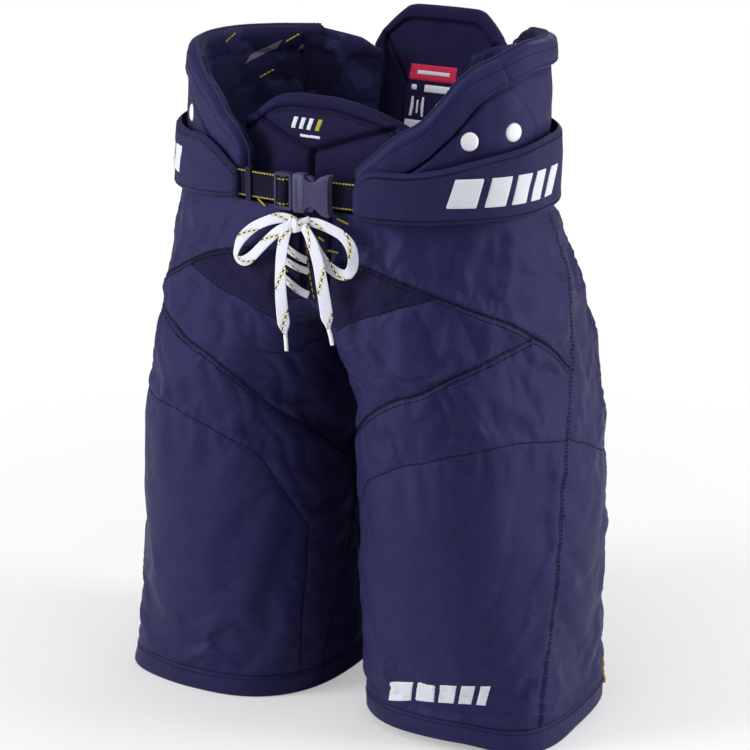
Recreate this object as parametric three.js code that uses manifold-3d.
// Senior ice hockey pants, standing on their two leg hems.
// Millimetres, +Z up, the front faces -Y, the wearer's left is +X.
// Each leg is a padded tube; the two tubes merge above the crotch into one waist.
// The waist carries a belt with a side-release buckle, two hip pads, two kidney
// pads, a spine pad and a belly pad; a laced fly closes the front.
import * as THREE from 'three';
import { mergeVertices } from 'three/addons/utils/BufferGeometryUtils.js';
import Module from 'manifold-3d';

const wasm = await Module();
wasm.setup();

// ------------------------------------------------------- overall dimensions
const ORIGIN_SHIFT_Y = -4.3;   // puts the bounding box's middle on the origin
const ROUNDNESS = 2.5;         // superellipse exponent of the leg and waist sections
const SIDES = [[1, 'left'], [-1, 'right']];

// section profiles: height, distance
const OUTER_X = [
  [0, 217], [60, 219], [150, 221], [250, 219], [330, 207],
  [400, 195], [450, 184], [480, 177], [545, 179], [620, 180],
];
const CENTRE_X = [
  [0, 120], [60, 120], [150, 120], [260, 118], [330, 107],
  [370, 86], [415, 55], [445, 25], [475, 0],
];
const FRONT_Y = [
  [0, -116], [150, -122], [250, -127], [330, -128], [400, -124], [450, -119], [480, -117],
];
const BACK_Y = [
  [0, 108], [150, 116], [250, 124], [330, 128], [400, 118],
  [450, 102], [480, 94], [545, 106], [620, 120],
];

const SHELL_T = 5;             // padded outer shell
const HEM_H = 21.6;            // folded hem
const SHELL_BOTTOM = HEM_H + 0.4;
const LEG_TOP = 318;           // top edge of the leg shells
const WEB_Z = 494;             // middle height of the belt webbing and buckle

// name: colour and roughness
const FINISHES = {
  shell: [0x3a3762, 0.75],
  innerLeg: [0x3a3762, 0.8],
  padFacing: [0x3a3762, 0.7],
  stretch: [0x2b2950, 0.9],
  lining: [0x15153a, 0.9],
  bellyAndFly: [0x15153a, 0.85],
  foam: [0x5b5f72, 0.9],
  plate: [0x1d1f2a, 0.4],
  webbing: [0x17172a, 0.8],
  buckle: [0x555272, 0.35],
  lace: [0xe9e9f2, 0.8],
  rivet: [0xe4e4ea, 0.5],
};

// ------------------------------------------------------------ section maths
const RAD = Math.PI / 180;
const lerp = (a, b, k) => a + (b - a) * k;
const signedPower = (value, power) => Math.sign(value) * Math.pow(Math.abs(value), power);

// piecewise linear value from a table of [key, value], held at both ends
function lookup(table, key) {
  if (key <= table[0][0]) return table[0][1];
  for (let i = 1; i < table.length; i++) {
    const [key0, value0] = table[i - 1], [key1, value1] = table[i];
    if (key <= key1) return value0 + ((key - key0) / (key1 - key0)) * (value1 - value0);
  }
  return table[table.length - 1][1];
}

function section(z) {
  const centreX = lookup(CENTRE_X, z);
  const front = lookup(FRONT_Y, z), back = lookup(BACK_Y, z);
  return {
    centreX,
    halfX: lookup(OUTER_X, z) - centreX,
    centreY: (front + back) / 2,
    halfY: (back - front) / 2,
  };
}

// point on a leg or waist section: side +1 left / -1 right, angle in degrees
// (0 outer side, -90 front, +90 back, 180 inner side), offset outwards
function tube(side, z, angle, offset) {
  const { centreX, halfX, centreY, halfY } = section(z);
  const across = signedPower(Math.cos(angle * RAD), 2 / ROUNDNESS);
  const along = signedPower(Math.sin(angle * RAD), 2 / ROUNDNESS);
  return [side * (centreX + (halfX + offset) * across), centreY + (halfY + offset) * along, z];
}

// angle at which the section's x falls to a given distance from the middle
function angleAtX(z, x, cap = 180) {
  const { centreX, halfX } = section(z);
  const ratio = (x - centreX) / halfX;
  if (ratio <= -1) return cap;
  return Math.min(cap, Math.acos(signedPower(ratio, ROUNDNESS / 2)) / RAD);
}

// ---------------------------------------------------------- geometry helpers
// closed body between two offsets of surface(u, v, offset); wrap joins u = 1 to u = 0
function slab(surface, offsets, [columns, rows], wrap = false) {
  const points = [], index = [];
  const perRow = wrap ? columns : columns + 1;
  for (const offset of offsets)
    for (let j = 0; j <= rows; j++)
      for (let i = 0; i < perRow; i++) points.push(...surface(i / columns, j / rows, offset));

  const layerSize = perRow * (rows + 1);
  const id = (layer, i, j) => layer * layerSize + j * perRow + (wrap ? i % columns : i);
  const quad = (a, b, c, d) => index.push(a, b, c, a, c, d);
  for (let j = 0; j < rows; j++)
    for (let i = 0; i < columns; i++) {
      quad(id(0, i, j), id(0, i + 1, j), id(0, i + 1, j + 1), id(0, i, j + 1));
      quad(id(1, i, j + 1), id(1, i + 1, j + 1), id(1, i + 1, j), id(1, i, j));
    }
  for (let i = 0; i < columns; i++) {
    quad(id(1, i, 0), id(1, i + 1, 0), id(0, i + 1, 0), id(0, i, 0));
    quad(id(0, i, rows), id(0, i + 1, rows), id(1, i + 1, rows), id(1, i, rows));
  }
  if (!wrap) for (let j = 0; j < rows; j++) {
    quad(id(1, 0, j + 1), id(1, 0, j), id(0, 0, j), id(0, 0, j + 1));
    quad(id(0, columns, j + 1), id(0, columns, j), id(1, columns, j), id(1, columns, j + 1));
  }
  const geometry = new THREE.BufferGeometry();
  geometry.setAttribute('position', new THREE.Float32BufferAttribute(points, 3));
  geometry.setIndex(index);
  return faceOutward(geometry);
}

function signedVolume({ attributes: { position }, index }) {
  const a = new THREE.Vector3(), b = new THREE.Vector3(), c = new THREE.Vector3();
  let total = 0;
  for (let i = 0; i < index.count; i += 3) {
    a.fromBufferAttribute(position, index.getX(i));
    b.fromBufferAttribute(position, index.getX(i + 1));
    c.fromBufferAttribute(position, index.getX(i + 2));
    total += a.dot(b.cross(c)) / 6;
  }
  return total;
}

function faceOutward(geometry) {
  if (signedVolume(geometry) < 0) {
    const corners = geometry.index.array;
    for (let i = 0; i < corners.length; i += 3)
      [corners[i], corners[i + 1]] = [corners[i + 1], corners[i]];
  }
  return geometry;
}

// panel on one side's tube; the angle limits may be functions of height and
// the height limits functions of u
function arcPanel(side, { angles, heights, offsets, grid, wrap }) {
  const valueAt = (limit, t) => (typeof limit === 'function' ? limit(t) : limit);
  return slab((u, v, offset) => {
    const z = lerp(valueAt(heights[0], u), valueAt(heights[1], u), v);
    return tube(side, z, lerp(valueAt(angles[0], z), valueAt(angles[1], z), u), offset);
  }, offsets, grid, wrap);
}

// panel on one side's tube whose edges(angle, u) gives its low and high edge
function edgedPanel(side, { angles, edges, offsets, grid }) {
  return slab((u, v, offset) => {
    const angle = lerp(...angles, u);
    return tube(side, lerp(...edges(angle, u), v), angle, offset);
  }, offsets, grid);
}

// flat ribbon swept along a smooth curve, its thickness facing the front
function ribbon(points, width, thickness, steps) {
  const vectors = points.map(point => new THREE.Vector3(...point));
  const curve = new THREE.CatmullRomCurve3(vectors, false, 'centripetal');
  const facing = new THREE.Vector3(0, -1, 0);
  const frames = [];
  for (let i = 0; i <= steps; i++) {
    const tangent = curve.getTangentAt(i / steps);
    const across = new THREE.Vector3().crossVectors(tangent, facing).normalize();
    const normal = new THREE.Vector3().crossVectors(across, tangent).normalize();
    frames.push({ centre: curve.getPointAt(i / steps), across, normal });
  }
  return slab((u, v, offset) => {
    const { centre, across, normal } = frames[Math.round(u * steps)];
    return centre.clone()
      .addScaledVector(across, (v - 0.5) * width)
      .addScaledVector(normal, offset)
      .toArray();
  }, [thickness / 2, -thickness / 2], [steps, 1]);
}

function solidOf(source) {
  const bare = source.clone();
  bare.deleteAttribute('normal');
  bare.deleteAttribute('uv');
  const geometry = mergeVertices(bare, 1e-4);
  return new wasm.Manifold(new wasm.Mesh({
    numProp: 3,
    vertProperties: new Float32Array(geometry.attributes.position.array),
    triVerts: new Uint32Array(geometry.index.array),
  }));
}

function geometryOf(solid) {
  const mesh = solid.getMesh();
  const positions = new Float32Array(mesh.numVert * 3);
  for (let i = 0; i < mesh.numVert; i++)
    for (let k = 0; k < 3; k++) positions[i * 3 + k] = mesh.vertProperties[i * mesh.numProp + k];
  const geometry = new THREE.BufferGeometry();
  geometry.setAttribute('position', new THREE.BufferAttribute(positions, 3));
  geometry.setIndex(Array.from(mesh.triVerts));
  return geometry;
}

const weld = geometry => geometryOf(solidOf(geometry));
const cut = (body, ...cutters) =>
  geometryOf(cutters.reduce((solid, cutter) => solid.subtract(solidOf(cutter)), solidOf(body)));
const join = (a, b) => geometryOf(solidOf(a).add(solidOf(b)));

const box = ([x0, x1], [y0, y1], [z0, z1]) =>
  new THREE.BoxGeometry(x1 - x0, y1 - y0, z1 - z0)
    .translate((x0 + x1) / 2, (y0 + y1) / 2, (z0 + z1) / 2);

// shape drawn in X and Z, extruded along Y from y0 to y1 (y0 < y1)
const extrudeAlongY = (shape, [y0, y1], curveSegments) =>
  new THREE.ExtrudeGeometry(shape, { depth: y1 - y0, bevelEnabled: false, curveSegments })
    .rotateX(Math.PI / 2).translate(0, y1, 0);

function roundedPlate([x0, x1], yRange, [z0, z1], radius, curveSegments = 4) {
  const shape = new THREE.Shape();
  const right = x1 - radius, left = x0 + radius, low = z0 + radius, high = z1 - radius;
  shape.moveTo(left, z0);
  shape.lineTo(right, z0);
  shape.absarc(right, low, radius, -Math.PI / 2, 0);
  shape.lineTo(x1, high);
  shape.absarc(right, high, radius, 0, Math.PI / 2);
  shape.lineTo(left, z1);
  shape.absarc(left, high, radius, Math.PI / 2, Math.PI);
  shape.lineTo(x0, low);
  shape.absarc(left, low, radius, Math.PI, Math.PI * 1.5);
  return extrudeAlongY(shape, yRange, curveSegments);
}

const group = new THREE.Group();
group.name = 'hockey_pants';
group.position.set(0, ORIGIN_SHIFT_Y, 0);

function add(name, geometry, finish) {
  const [color, roughness] = FINISHES[finish];
  const mesh = new THREE.Mesh(geometry, new THREE.MeshStandardMaterial({ color, roughness }));
  mesh.name = name;
  group.add(mesh);
}

// ----------------------------------------------------------------- the legs
const SEAM_GAP = 0.3;          // degrees either side of a seam
const REAR_SEAM = 150;         // angle of the seam between rear and inner panels
// height, angle
const SIDE_SEAM = [
  [20, -31], [62, -27], [99, -23], [172, -17], [225, -13], [276, -7.5], [318, -3],
];
const INNER_SEAM = [[20, -147], [120, -150], [164, -152], [318, -156]];

function addLegShells(side, tag) {
  const innerSeam = z => lookup(INNER_SEAM, z), sideSeam = z => lookup(SIDE_SEAM, z);
  const heights = [SHELL_BOTTOM, LEG_TOP];
  add(`thigh_shell_front_${tag}`, arcPanel(side, {
    angles: [z => innerSeam(z) + SEAM_GAP, z => sideSeam(z) - SEAM_GAP],
    heights, offsets: [0, -SHELL_T], grid: [15, 6],
  }), 'shell');
  add(`thigh_shell_rear_${tag}`, arcPanel(side, {
    angles: [z => sideSeam(z) + SEAM_GAP, REAR_SEAM - SEAM_GAP],
    heights, offsets: [0, -SHELL_T], grid: [17, 6],
  }), 'shell');
  add(`inner_leg_panel_${tag}`, arcPanel(side, {
    angles: [REAR_SEAM + SEAM_GAP, z => innerSeam(z) + 360 - SEAM_GAP],
    heights, offsets: [0, -3.6], grid: [6, 6],
  }), 'innerLeg');
  add(`hem_band_${tag}`, arcPanel(side, {
    angles: [-180, 180], heights: [0, HEM_H], offsets: [0.6, -5.4], grid: [36, 1], wrap: true,
  }), 'shell');
}

// plastic guard and foam inside the front and outer side of the thigh
function addThighGuard(side, tag) {
  const cornering = u => Math.pow(2 * u - 1, 4);   // rounds the corners off
  add(`thigh_guard_plate_${tag}`, arcPanel(side, {
    angles: [-140, -20],
    heights: [u => 62 + 60 * cornering(u), u => 292 - 26 * cornering(u)],
    offsets: [-7.2, -9.6], grid: [12, 4],
  }), 'plate');
  add(`thigh_guard_foam_${tag}`, arcPanel(side, {
    angles: [-145, 15],
    heights: [u => 48 + 40 * cornering(u), u => 296 - 20 * cornering(u)],
    offsets: [-11.4, -20], grid: [16, 4],
  }), 'foam');
}

// ----------------------------------------------------------------- the hips
const HIP_TOP = 477.5;         // top edge of the hip shells at the fly
const HIP_LOW = { front: 385, side: 352, back: 370 };
const HIP_LOW_Z = 366;         // height at which the low edge's angles are taken
const RIM_STEP = { left: -80.5, right: -74.5 };   // angle where the rim starts to step up
// rim of the hip shell below the hip pad: angle, height
const PAD_RIM = {
  left: [
    [-79, 509.5], [-75, 511.5], [-65, 520.5], [-52, 525.5],
    [-38, 531.5], [-20, 537.5], [0, 544.5], [52, 547.5],
  ],
  right: [[-73.5, 510], [-63, 518.5], [-43, 526.5], [0, 534.5], [52, 541.5]],
};
// column angles of the hip shell, closer together at the steps of the rim
const HIP_COLUMNS = [
  -90, -85, -80.5, -79, -74.5, -73.5, -67, -60, -53, -45, -37, -29, -21, -13, -5,
  3, 11, 19, 27, 35, 43, 49, 55, 57, 63, 69, 76, 83, 90,
];

function hipLow(angle) {
  const end = angle < 0 ? HIP_LOW.front : HIP_LOW.back;
  const turn = Math.min(1, Math.abs(angle) / 125) * Math.PI / 2;
  return lerp(HIP_LOW.side, end, 1 - Math.cos(turn));
}

// shell from the front middle round to the back middle
function addHipShell(side, tag) {
  const padRim = PAD_RIM[tag];
  const rim = [
    [-90, HIP_TOP], [RIM_STEP[tag], HIP_TOP], ...padRim,
    [55, padRim.at(-1)[1]], [57, 494], [72, 494], [90, 488],
  ];
  const middleAngle = z => angleAtX(z, 0.25), lowAngle = middleAngle(HIP_LOW_Z);
  const last = HIP_COLUMNS.length - 1;
  add(`hip_shell_${tag}`, slab((u, v, offset) => {
    const angle = HIP_COLUMNS[Math.round(u * last)], share = angle / 90;
    const z = lerp(hipLow(share * lowAngle), lookup(rim, angle), v);
    return tube(side, z, share * middleAngle(z), offset);
  }, [0, -SHELL_T], [last, 7]), 'shell');
}

// stretch fabric that joins the leg to the hip, open only at the crotch gusset
function addStretchPanel(side, tag) {
  const edgeAngle = z => angleAtX(z, 8.6, 171), lowAngle = edgeAngle(HIP_LOW_Z);
  add(`stretch_panel_${tag}`, arcPanel(side, {
    angles: [z => -edgeAngle(z), edgeAngle],
    heights: [LEG_TOP + 0.5, u => hipLow((2 * u - 1) * lowAngle) - 2.2],
    offsets: [-0.6, -3.4], grid: [30, 3],
  }), 'stretch');
}

// height of the middle crease between the legs at a given y, by bisection
function creaseHeight(y) {
  let low = 338, high = 470;
  for (let i = 0; i < 40; i++) {
    const z = (low + high) / 2;
    const { centreX, halfX, centreY, halfY } = section(z);
    const remainder = 1 - Math.pow(Math.min(1, centreX / halfX), ROUNDNESS);
    const reach = halfY * Math.pow(remainder, 1 / ROUNDNESS);
    if (reach < Math.abs(y - centreY)) low = z;
    else high = z;
  }
  return (low + high) / 2;
}

// narrow saddle strip between the two stretch panels
function addCrotchGusset() {
  const HALF_WIDTH = 7.6, FRONT_END = -98, BACK_END = 88;
  const TANGENT_STEP = 0.004;
  const crease = u => {
    const y = lerp(FRONT_END, BACK_END, u);
    return [y, creaseHeight(y)];
  };
  add('crotch_gusset', slab((u, v, offset) => {
    const [y0, z0] = crease(Math.max(0, u - TANGENT_STEP));
    const [y1, z1] = crease(Math.min(1, u + TANGENT_STEP));
    const length = Math.hypot(y1 - y0, z1 - z0), [y, z] = crease(u);
    const x = lerp(-HALF_WIDTH, HALF_WIDTH, v);
    return [x, y + offset * (z1 - z0) / length, z - offset * (y1 - y0) / length];
  }, [0, -3], [26, 2]), 'stretch');
}

function addWaistLining() {
  add('waist_lining', slab((u, v, offset) => {
    const around = u * 360 - 90, z = lerp(446, 474, v);
    const side = around <= 90 ? 1 : -1, angle = around <= 90 ? around : 180 - around;
    return tube(side, z, angle / 90 * angleAtX(z, 0), offset);
  }, [-6.5, -8.8], [44, 1], true), 'lining');
}

// curved plate with foam on the wearer's side; depths run inwards from the back
function addTailboneGuard() {
  const curved = (halfWidth, depths) => slab((u, v, depth) => {
    const z = lerp(402, 466, v), x = lerp(-halfWidth, halfWidth, u);
    return [x, lookup(BACK_Y, z) - depth - x * x / 900, z];
  }, depths, [8, 3]);
  add('tailbone_guard_plate', curved(42, [17, 19.6]), 'plate');
  add('tailbone_guard_foam', curved(46, [20.4, 30]), 'foam');
}

// ------------------------------------------------------------ fly and laces
const FLY_TOP = 476, FLY_LOW = 396;
const TONGUE_HALF = 30;
const TONGUE_SLOPE = 0.144;    // extra depth per millimetre below the fly top
const LACE_W = 9, LACE_TAIL_W = 8, LACE_T = 1.6;
const KNOT = { radii: [8.5, 5, 7.4], centre: [2, -127.4, 466.5] };

function addFly() {
  for (const [side, tag] of SIDES)
    add(`fly_facing_${tag}`, arcPanel(side, {
      angles: [z => -angleAtX(z, 3), z => -angleAtX(z, 26)],
      heights: [FLY_LOW, FLY_TOP - 1], offsets: [2.6, 0.5], grid: [4, 5],
    }), 'bellyAndFly');
  add('fly_tongue', slab((u, v, depth) => {
    const z = lerp(FLY_LOW, FLY_TOP, v), x = lerp(-TONGUE_HALF, TONGUE_HALF, u);
    return [x, lookup(FRONT_Y, z) + depth + TONGUE_SLOPE * (FLY_TOP - z), z];
  }, [10.6, 13.4], [6, 4]), 'lining');
}

function addLace(name, width, steps, points) {
  add(`lace_${name}`, ribbon(points, width, LACE_T, steps), 'lace');
}

// two rows slanting across the fly facings
function addLaceRows() {
  const frontY = (z, gap) => lookup(FRONT_Y, z) - gap;
  addLace('row_upper', LACE_W, 6, [
    [-16, frontY(441, 5.2), 443], [0, frontY(437, 5.2), 437], [17, frontY(432, 5.2), 430],
  ]);
  addLace('row_lower', LACE_W, 6, [
    [-16, frontY(414, 5.2), 415], [0, frontY(406, 4.8), 408], [17, frontY(402, 5.2), 402],
  ]);
}

// knot, two loops and two tails
function addBow() {
  const knot = new THREE.SphereGeometry(1, 14, 8).scale(...KNOT.radii);
  add('lace_knot', knot.translate(...KNOT.centre), 'lace');
  // loop points: x, z and an optional shift in y
  const atDepth = (y, points) => points.map(([x, z, shift = 0]) => [x, y + shift, z]);
  addLace('loop_right', LACE_W, 28, atDepth(-128.2, [
    [-10, 470], [-28, 470.5], [-50, 460], [-65, 444], [-68, 431, 1],
    [-63.5, 423.5, 1], [-53, 424.5], [-38, 437, -1.5], [-21, 455, -2], [-9, 463, -1.5],
  ]));
  addLace('loop_left', LACE_W, 34, atDepth(-128.6, [
    [13.8, 470.5], [25, 471.3], [38, 471.5], [49, 468.5], [57, 462],
    [60.5, 454], [60.4, 445], [58, 434], [51, 425.5], [41, 424.5, -1],
    [31, 429, -2], [22, 439, -3], [14, 452, -3.2], [10.6, 461.5, -3],
  ]));
  // tail points: x, y, z
  addLace('tail_right', LACE_TAIL_W, 14, [
    [-10.4, -136.2, 466], [-14.9, -138, 444], [-14.6, -139.2, 408],
    [-11.6, -139.6, 376], [-8.8, -139.6, 355],
  ]);
  addLace('tail_left', LACE_TAIL_W, 14, [
    [12.4, -137, 462], [20.4, -138.6, 428], [28, -139.6, 394],
    [34.5, -139.8, 379], [38, -139.8, 366],
  ]);
}

// --------------------------------------------------------- belt and webbing
const BELT_T = 4.4, BELT_OFFSET = 4.7;
const BELT_END_TRIM = 5;       // taken off both edges at the front end
const WEB_W = 25, WEB_T = 1.8, WEB_OFFSET = 1.5;
// edge tables: angle, height
const BELTS = {
  left: {
    angles: [-78.2, 62],
    low: [[-78, 480], [-71, 475], [-59, 470], [-42, 468], [0, 471], [62, 476]],
    high: [
      [-78, 506], [-72, 515], [-65, 519], [-52, 523],
      [-38, 530], [-20, 536], [0, 543], [62, 546],
    ],
  },
  right: {
    angles: [-75, 62],
    low: [[-75, 485], [-51, 477], [0, 472], [62, 476]],
    high: [[-75, 507], [-63, 517], [-43, 525], [0, 533], [62, 540]],
  },
};

function addBelt(side, tag) {
  const { angles, low, high } = BELTS[tag];
  const edges = (angle, u) => {
    const trim = u === 0 ? BELT_END_TRIM : 0;
    return [lookup(low, angle) + trim, lookup(high, angle) - trim];
  };
  add(`belt_${tag}`, edgedPanel(side, {
    angles, edges, offsets: [BELT_OFFSET + BELT_T, BELT_OFFSET], grid: [20, 2],
  }), 'shell');
}

function addWebbing(side, tag) {
  const start = 12, end = { left: 100, right: 118 }[tag];
  add(`webbing_${tag}`, slab((u, v, offset) => {
    const z = lerp(WEB_Z - WEB_W / 2, WEB_Z + WEB_W / 2, v);
    return tube(side, z, -angleAtX(z, lerp(start, end, u)), offset);
  }, [WEB_OFFSET + WEB_T, WEB_OFFSET], [12, 1]), 'webbing');
}

// ------------------------------------------------------- side-release buckle
const BUCKLE_BACK = -121, BUCKLE_FRONT = -129.2;   // y of its faces
const KEEPER_X = 56, KEEPER_TURN = -6.2;
// outline of the upper prong: x, height above the webbing's middle
const PRONG = [
  [-6.7, 4.6], [-6.7, 9.2], [-2, 9.8], [2, 12.4], [5, 15.6], [11, 16.2],
  [13.5, 15], [15.4, 11], [15.4, 9.2], [12.5, 8.6], [6, 7.4], [-1, 5.4],
];
const aboutWeb = half => [WEB_Z - half, WEB_Z + half];

// hollow body, open at the plug end and through both side slots
function addBuckleSocket() {
  const hollowY = [BUCKLE_FRONT + 1.9, BUCKLE_BACK - 1.6];
  const body = roundedPlate([-6, 31], [BUCKLE_FRONT, BUCKLE_BACK], aboutWeb(17.2), 4);
  const cavity = box([-7, 20.5], hollowY, aboutWeb(14.2));
  const slots = box([-7, 15.8], hollowY, [470, 520]);
  add('buckle_socket', cut(body, cavity, slots), 'buckle');
}

// frame with two webbing windows and a guide tongue
function addBucklePlug() {
  const frame = roundedPlate([-25, -7.2], [BUCKLE_FRONT + 0.9, BUCKLE_BACK], aboutWeb(16.4), 3.4);
  const window = xRange => box(xRange, [BUCKLE_FRONT - 1, BUCKLE_BACK + 1], aboutWeb(13.4));
  const tongue = box([-8, 14], [BUCKLE_FRONT + 2.4, BUCKLE_BACK - 2.1], aboutWeb(1.4));
  const openFrame = cut(frame, window([-22.8, -19.4]), window([-13.6, -10]));
  add('buckle_plug', join(openFrame, tongue), 'buckle');
}

// two sprung prongs; each press pad stands out through its side slot
function addBuckleProngs() {
  for (const [sign, tag] of [[1, 'upper'], [-1, 'lower']]) {
    const outline = PRONG.map(([x, height]) => new THREE.Vector2(x, WEB_Z + sign * height));
    const prong = extrudeAlongY(new THREE.Shape(outline), [BUCKLE_BACK - 6.1, BUCKLE_BACK - 2.1]);
    add(`buckle_prong_${tag}`, weld(prong), 'buckle');
  }
}

// loop round the right webbing
function addStrapKeeper() {
  const [x, y] = tube(-1, WEB_Z, -angleAtX(WEB_Z, KEEPER_X), WEB_OFFSET + WEB_T / 2);
  const keeper = cut(
    roundedPlate([-3, 3], [-3, 3], aboutWeb(15.4), 1.2, 2),
    box([-4, 4], [-1.45, 1.45], aboutWeb(13)),
  );
  add('strap_keeper', keeper.rotateZ(KEEPER_TURN * RAD).translate(x, y, 0), 'rivet');
}

// --------------------------------------------------- hip pads, kidney pads
const PAD_GAP = 1.5;           // from the hip shell's rim up to the pad
const PAD_COLUMNS = 14;
const FACING_END = -10;        // rear end angle of the pad facing
const RIVET_R = 8, RIVET_H = 3;
// top edge and rivet places: angle, height
const HIP_PADS = {
  left: {
    top: [
      [-79, 516], [-67, 547], [-58.5, 560], [-43.5, 597],
      [-27.5, 613], [-8.5, 625], [30, 621], [52, 607],
    ],
    rivets: [[-39.5, 545], [-18.5, 550]],
    facingHeight: 27,
    kidneyTop: 600,
  },
  right: {
    top: [
      [-73.5, 522], [-68, 541], [-63.5, 549], [-58, 564],
      [-40, 585], [-20, 597], [0, 601], [52, 600],
    ],
    rivets: [[-36, 540], [-16, 544]],
    facingHeight: 19,
    kidneyTop: 596,
  },
};

function addHipPad(side, tag) {
  const { top, facingHeight } = HIP_PADS[tag];
  const low = PAD_RIM[tag].map(([angle, z]) => [angle, z + PAD_GAP]);
  const start = low[0][0], end = low.at(-1)[0];
  const layer = ({ columns: [first, last], lowInset, topInset, offsets }) => edgedPanel(side, {
    angles: [lerp(start, end, first / PAD_COLUMNS), lerp(start, end, last / PAD_COLUMNS)],
    edges: angle => {
      const bottom = lookup(low, angle) + lowInset;
      return [bottom, Math.max(bottom + 2, lookup(top, angle) - topInset)];
    },
    offsets, grid: [last - first, 3],
  });
  add(`hip_pad_cover_${tag}`, layer({
    columns: [0, PAD_COLUMNS], lowInset: 0, topInset: 0, offsets: [0, -2.4],
  }), 'shell');
  add(`hip_cap_plate_${tag}`, layer({
    columns: [3, 11], lowInset: 6, topInset: 10, offsets: [-3.6, -5.8],
  }), 'plate');
  add(`hip_pad_foam_${tag}`, layer({
    columns: [1, PAD_COLUMNS], lowInset: 1, topInset: 3, offsets: [-7, -14],
  }), 'foam');
  // strip along the front part of the top edge
  add(`hip_pad_facing_${tag}`, edgedPanel(side, {
    angles: [start + 3, FACING_END],
    edges: angle => {
      const high = lookup(top, angle) - 0.5;
      return [Math.max(lookup(low, angle) + 0.5, high - facingHeight), high];
    },
    offsets: [2.9, 0.7], grid: [8, 2],
  }), 'padFacing');
}

function addRivets(side, tag) {
  // radius, height
  const profile = [
    [0, 0], [RIVET_R, 0], [RIVET_R, 0.9],
    [RIVET_R * 0.82, 2.1], [RIVET_R * 0.45, 2.8], [0, RIVET_H],
  ].map(point => new THREE.Vector2(...point));
  const latheAxis = new THREE.Vector3(0, 1, 0);
  HIP_PADS[tag].rivets.forEach(([angle, z], i) => {
    // outward direction, square to the chord between two nearby points
    const [xa, ya] = tube(side, z, angle - 3, 0), [xb, yb] = tube(side, z, angle + 3, 0);
    const outward = new THREE.Vector3(side * Math.abs(yb - ya), -Math.abs(xb - xa), 0).normalize();
    const dome = new THREE.LatheGeometry(profile, 20)
      .applyQuaternion(new THREE.Quaternion().setFromUnitVectors(latheAxis, outward))
      .translate(...tube(side, z, angle, 0.9).slice(0, 2), z);
    add(`rivet_cap_${i ? 'rear' : 'front'}_${tag}`, weld(dome), 'rivet');
  });
}

// stands behind the hip pad
function addKidneyPad(side, tag) {
  add(`kidney_pad_${tag}`, arcPanel(side, {
    angles: [58, 71], heights: [496, HIP_PADS[tag].kidneyTop], offsets: [0, -14], grid: [4, 3],
  }), 'lining');
}

// -------------------------------------------------------------- spine pad
const SPINE = {
  lean: Math.atan(0.25), base: [0, 98, 484],
  length: 139, thickness: 18, wall: 2.6,
  baseHalf: 60, shoulderHalf: 71, topHalf: 40, shoulderHeight: 100,
};

// trapezoid with rounded top corners, drawn inside the pad's edge by an inset
function spineOutline(inset) {
  const base = SPINE.baseHalf - inset, wide = SPINE.shoulderHalf - inset;
  const narrow = SPINE.topHalf - inset, top = SPINE.length - inset;
  const shoulder = SPINE.shoulderHeight - inset * 0.6;
  const bend = SPINE.shoulderHeight + 14 - inset;
  const shape = new THREE.Shape();
  shape.moveTo(-base, 0);
  shape.lineTo(base, 0);
  shape.lineTo(wide, shoulder);
  shape.quadraticCurveTo(wide - 3, bend, narrow + 12, top - 6);
  shape.quadraticCurveTo(narrow + 5, top, narrow - 4, top);
  shape.lineTo(-narrow + 4, top);
  shape.quadraticCurveTo(-narrow - 5, top, -narrow - 12, top - 6);
  shape.quadraticCurveTo(-wide + 3, bend, -wide, shoulder);
  shape.closePath();
  return shape;
}

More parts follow.
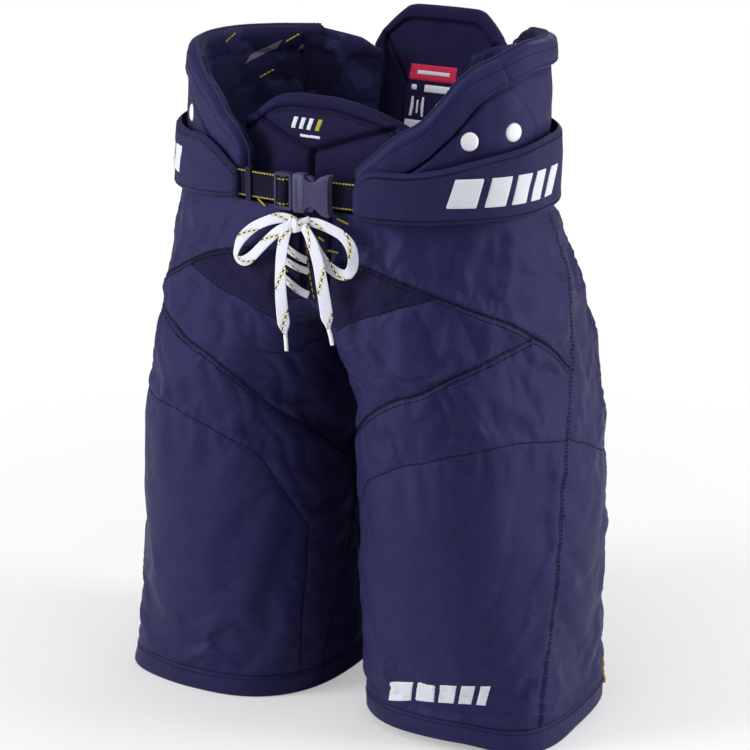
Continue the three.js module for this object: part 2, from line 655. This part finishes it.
function addSpinePad() {
  const { length, thickness, wall } = SPINE;
  const layer = (inset, yRange) => extrudeAlongY(spineOutline(inset), yRange, 5);
  const place = geometry => geometry.rotateX(-SPINE.lean).translate(...SPINE.base);
  const trim = geometry => cut(geometry,
    box([-200, 200], [-50, 50], [-50, 1]),
    box([-200, 200], [-50, 50], [length - 4.2, 300]));
  // the hollow is lowered so that it opens the cover's bottom
  const hollow = layer(wall, [wall, thickness - wall]).translate(0, 0, -0.5);
  add('spine_pad_cover', place(cut(layer(0, [0, thickness]), hollow)), 'shell');
  add('spine_pad_foam', place(trim(layer(3.4, [3.1, 10.6]))), 'foam');
  add('spine_guard_plate', place(trim(layer(6, [11.2, 14.4]))), 'plate');
}

// -------------------------------------------------------------- belly pad
const BELLY_LOW = 462;
const BELLY_LEAN = 0.09;       // backward shift per millimetre of height
const bellyTop = x => 571 - 23 * Math.pow(Math.abs(x + 8) / 88, 1.9);
const bellyHalf = v => lerp(50, 84, Math.min(1, v * 1.6));

// slab that follows the waist's front; depths run inwards from it
function bellySlab({ acrossAt, low, topInset, depths, grid }) {
  return slab((u, v, depth) => {
    const x = acrossAt(u, v), z = lerp(low, bellyTop(x) - topInset, v);
    const waistZ = Math.max(480, z);
    const y = tube(1, waistZ, -angleAtX(waistZ, Math.abs(x)), 0)[1];
    return [x, y + depth + (z - BELLY_LOW) * BELLY_LEAN, z];
  }, depths, grid);
}

function addBellyPad() {
  const body = bellySlab({
    acrossAt: (u, v) => lerp(-1, 1, u) * bellyHalf(v),
    low: BELLY_LOW, topInset: 0, depths: [16.5, 31], grid: [16, 5],
  });
  const pocket = (x0, x1) => bellySlab({
    acrossAt: u => lerp(x0, x1, u),
    low: 458, topInset: 3.2, depths: [18.7, 28.8], grid: [6, 5],
  });
  add('belly_pad_cover', cut(body, pocket(-47, -1.6), pocket(1.6, 47)), 'bellyAndFly');
  for (const [side, tag] of SIDES)
    add(`belly_pad_foam_${tag}`, bellySlab({
      acrossAt: u => side * lerp(2.2, 46.2, u),
      low: 464, topInset: 4.4, depths: [19.6, 27.9], grid: [5, 4],
    }), 'foam');
}

// --------------------------------------------------------------- assembly
function addBothSides(...builders) {
  for (const [side, tag] of SIDES)
    for (const build of builders) build(side, tag);
}

addBothSides(addLegShells, addThighGuard, addHipShell, addStretchPanel);
addCrotchGusset();
addWaistLining();
addTailboneGuard();
addFly();
addLaceRows();
addBow();
addBothSides(addBelt);
addBothSides(addWebbing);
addBuckleSocket();
addBucklePlug();
addBuckleProngs();
addStrapKeeper();
addBothSides(addHipPad, addRivets, addKidneyPad);
addSpinePad();
addBellyPad();

export default group;
